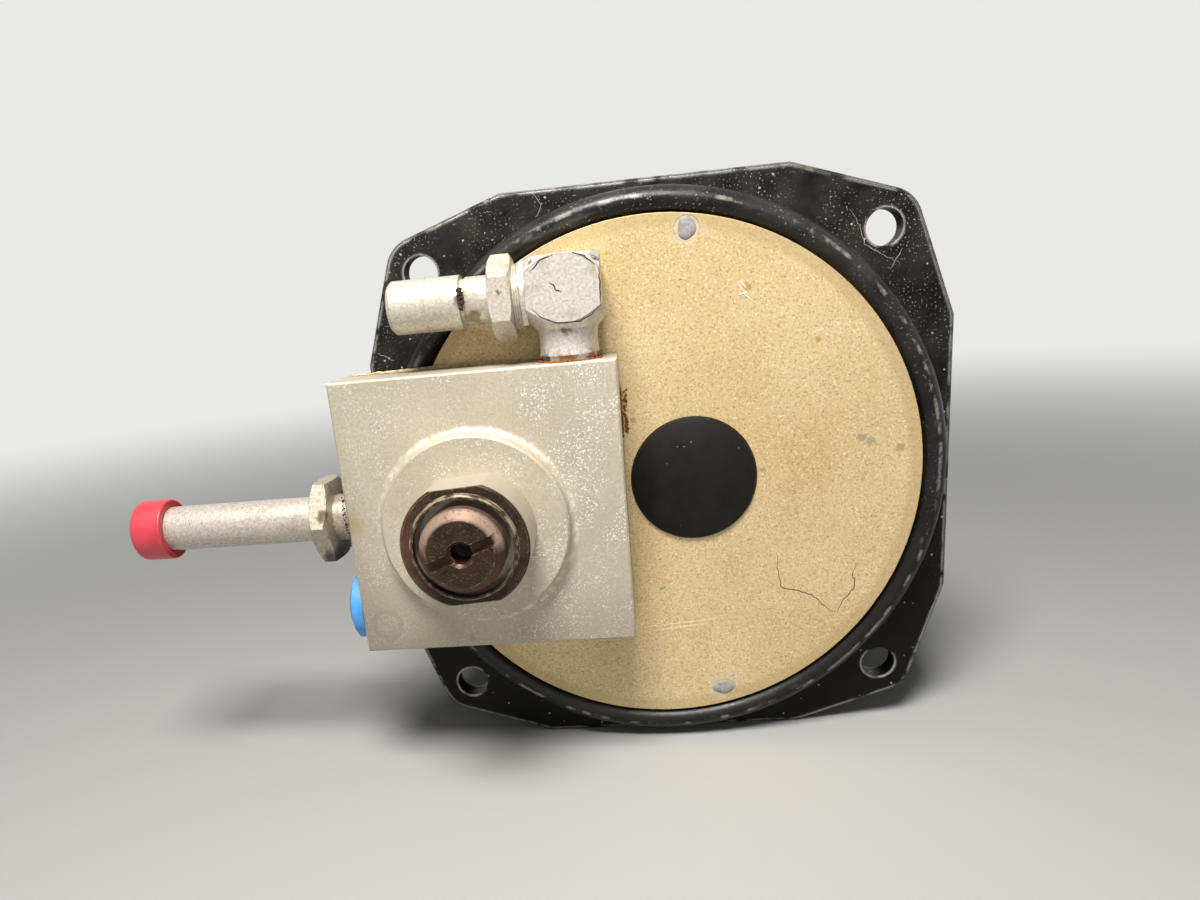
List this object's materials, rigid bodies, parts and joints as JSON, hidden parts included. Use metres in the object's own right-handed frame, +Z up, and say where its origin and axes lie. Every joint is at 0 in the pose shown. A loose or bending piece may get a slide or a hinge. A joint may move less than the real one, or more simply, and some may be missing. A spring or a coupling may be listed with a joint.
{
  "type": "aircraft turn coordinator",
  "caption": "Blind gyro turn coordinator: a round can on an eight-sided flange, with a valve block, hose elbow and capped tube on its end plate.",
  "frame": {"origin": "the middle of the four panel holes, on the flange's front face", "axes": "+X right and +Z up when the gold end plate is looked at; +Y from the end plate into the can"},
  "size_m": [0.116, 0.1304, 0.0816],
  "materials": {
    "black_enamel": "satin black enamel, chipped to bare metal at the edges",
    "gold_chromate": "aluminium plate with a gold chromate coat, mottled",
    "grey_sealant": "grey sealant over a screw head",
    "block_aluminium": "blasted bare aluminium with white corrosion specks",
    "dark_bronze": "oxidised bronze, bare on its edges",
    "plated_fitting": "bright plated forging, dull on its faces",
    "pale_fitting": "pale plated steel, slightly yellow",
    "dull_steel": "dull plated steel with grime",
    "tube_aluminium": "drawn aluminium tube, pitted",
    "steel": "bright steel",
    "machined_aluminium": "machined aluminium",
    "bearing_bronze": "sintered bronze",
    "rotor_brass": "turned brass",
    "stator_iron": "laminated iron",
    "graphite": "graphite",
    "black_plastic": "matt black moulded nylon",
    "red_vinyl": "soft red vinyl, slightly glossy",
    "blue_polyethylene": "bright blue polyethylene",
    "seal_rubber": "black rubber sheet",
    "olive_plating": "olive drab cadmium plating",
    "insulator": "moulded insulator",
    "contact_gold": "gold-plated contact"
  },
  "bodies": {
    "case": {"mounting_flange": "black_enamel", "case_can": "black_enamel", "retaining_ring": "black_enamel", "end_plate": "gold_chromate", "plate_seal": "seal_rubber", "sealed_screws": "grey_sealant", "valve_block": "block_aluminium", "block_seal": "seal_rubber", "block_screws": "steel", "hex_gland": "dark_bronze", "elbow": "plated_fitting", "hose_nipple": "pale_fitting", "tube_fitting": "dull_steel", "air_tube": "tube_aluminium", "front_bridge": "machined_aluminium", "rear_bridge": "machined_aluminium", "front_spacers": "machined_aluminium", "frame_posts": "steel", "post_nuts": "steel", "gimbal_bearings": "bearing_bronze", "damper_cylinder": "machined_aluminium", "regulator_spring": "steel", "centring_spring": "steel", "rear_cover": "black_enamel", "cover_seal": "seal_rubber", "cover_screws": "steel", "receptacle_shell": "olive_plating", "receptacle_screws": "steel", "receptacle_insert": "insulator", "receptacle_contacts": "contact_gold"},
    "gimbal": {"gimbal_frame": "machined_aluminium", "gimbal_pivots": "steel", "drive_pin": "steel", "rotor_bearings": "bearing_bronze", "motor_stator": "stator_iron"},
    "rotor": {"rotor_wheel": "rotor_brass", "rotor_shaft": "steel"},
    "link": {"link_rod": "steel", "damper_piston": "graphite"},
    "valve": {"valve_rotor": "steel", "valve_crank": "steel"},
    "regulator_seat": {"slotted_seat": "dark_bronze"},
    "regulator_poppet": {"poppet": "steel"},
    "adjusting_hole_plug": {"hole_plug": "black_plastic"},
    "tube_end_cap": {"tube_cap": "red_vinyl"},
    "spare_port_plug": {"port_plug": "blue_polyethylene"}
  },
  "joints": [
    {"name": "gimbal_precession", "type": "hinge", "parent": "case", "child": "gimbal", "pos_m": [0, 0.044, 0], "axis": [0, 0.866, -0.5], "range_deg": [-6, 6], "stiffness_Nm_per_rad": 0.05},
    {"name": "rotor_spin", "type": "hinge", "parent": "gimbal", "child": "rotor", "pos_m": [0, 0.044, 0], "axis": [1, 0, 0], "continuous": true},
    {"name": "link_slide", "type": "slide", "parent": "case", "child": "link", "axis": [1, 0, 0], "range_m": [-0.0016, 0.0016], "deforming": ["centring_spring"]},
    {"name": "valve_turn", "type": "hinge", "parent": "case", "child": "valve", "pos_m": [-0.0114, 0, -0.003], "axis": [0, 1, 0], "range_deg": [-11.5, 11.5]},
    {"name": "seat_turn", "type": "hinge", "parent": "case", "child": "regulator_seat", "pos_m": [-0.02505, -0.02, -0.002], "axis": [0, 1, 0], "range_deg": [-180, 180]},
    {"name": "poppet_lift", "type": "slide", "parent": "case", "child": "regulator_poppet", "axis": [0, 1, 0], "range_m": [0, 0.0012], "stiffness_N_per_m": 120, "deforming": ["regulator_spring"]},
    {"name": "hole_plug_pull", "type": "slide", "parent": "case", "child": "adjusting_hole_plug", "axis": [0, -1, 0], "range_m": [0, 0.012]},
    {"name": "tube_cap_pull", "type": "slide", "parent": "case", "child": "tube_end_cap", "axis": [-1, 0, 0], "range_m": [0, 0.01]},
    {"name": "port_plug_pull", "type": "slide", "parent": "case", "child": "spare_port_plug", "axis": [-1, 0, 0], "range_m": [0, 0.012]}
  ],
  "couplings": [
    {"joint": "link_slide", "follows": "gimbal_precession", "m_per_rad": -0.01497},
    {"joint": "valve_turn", "follows": "gimbal_precession", "ratio": -1.8713}
  ]
}
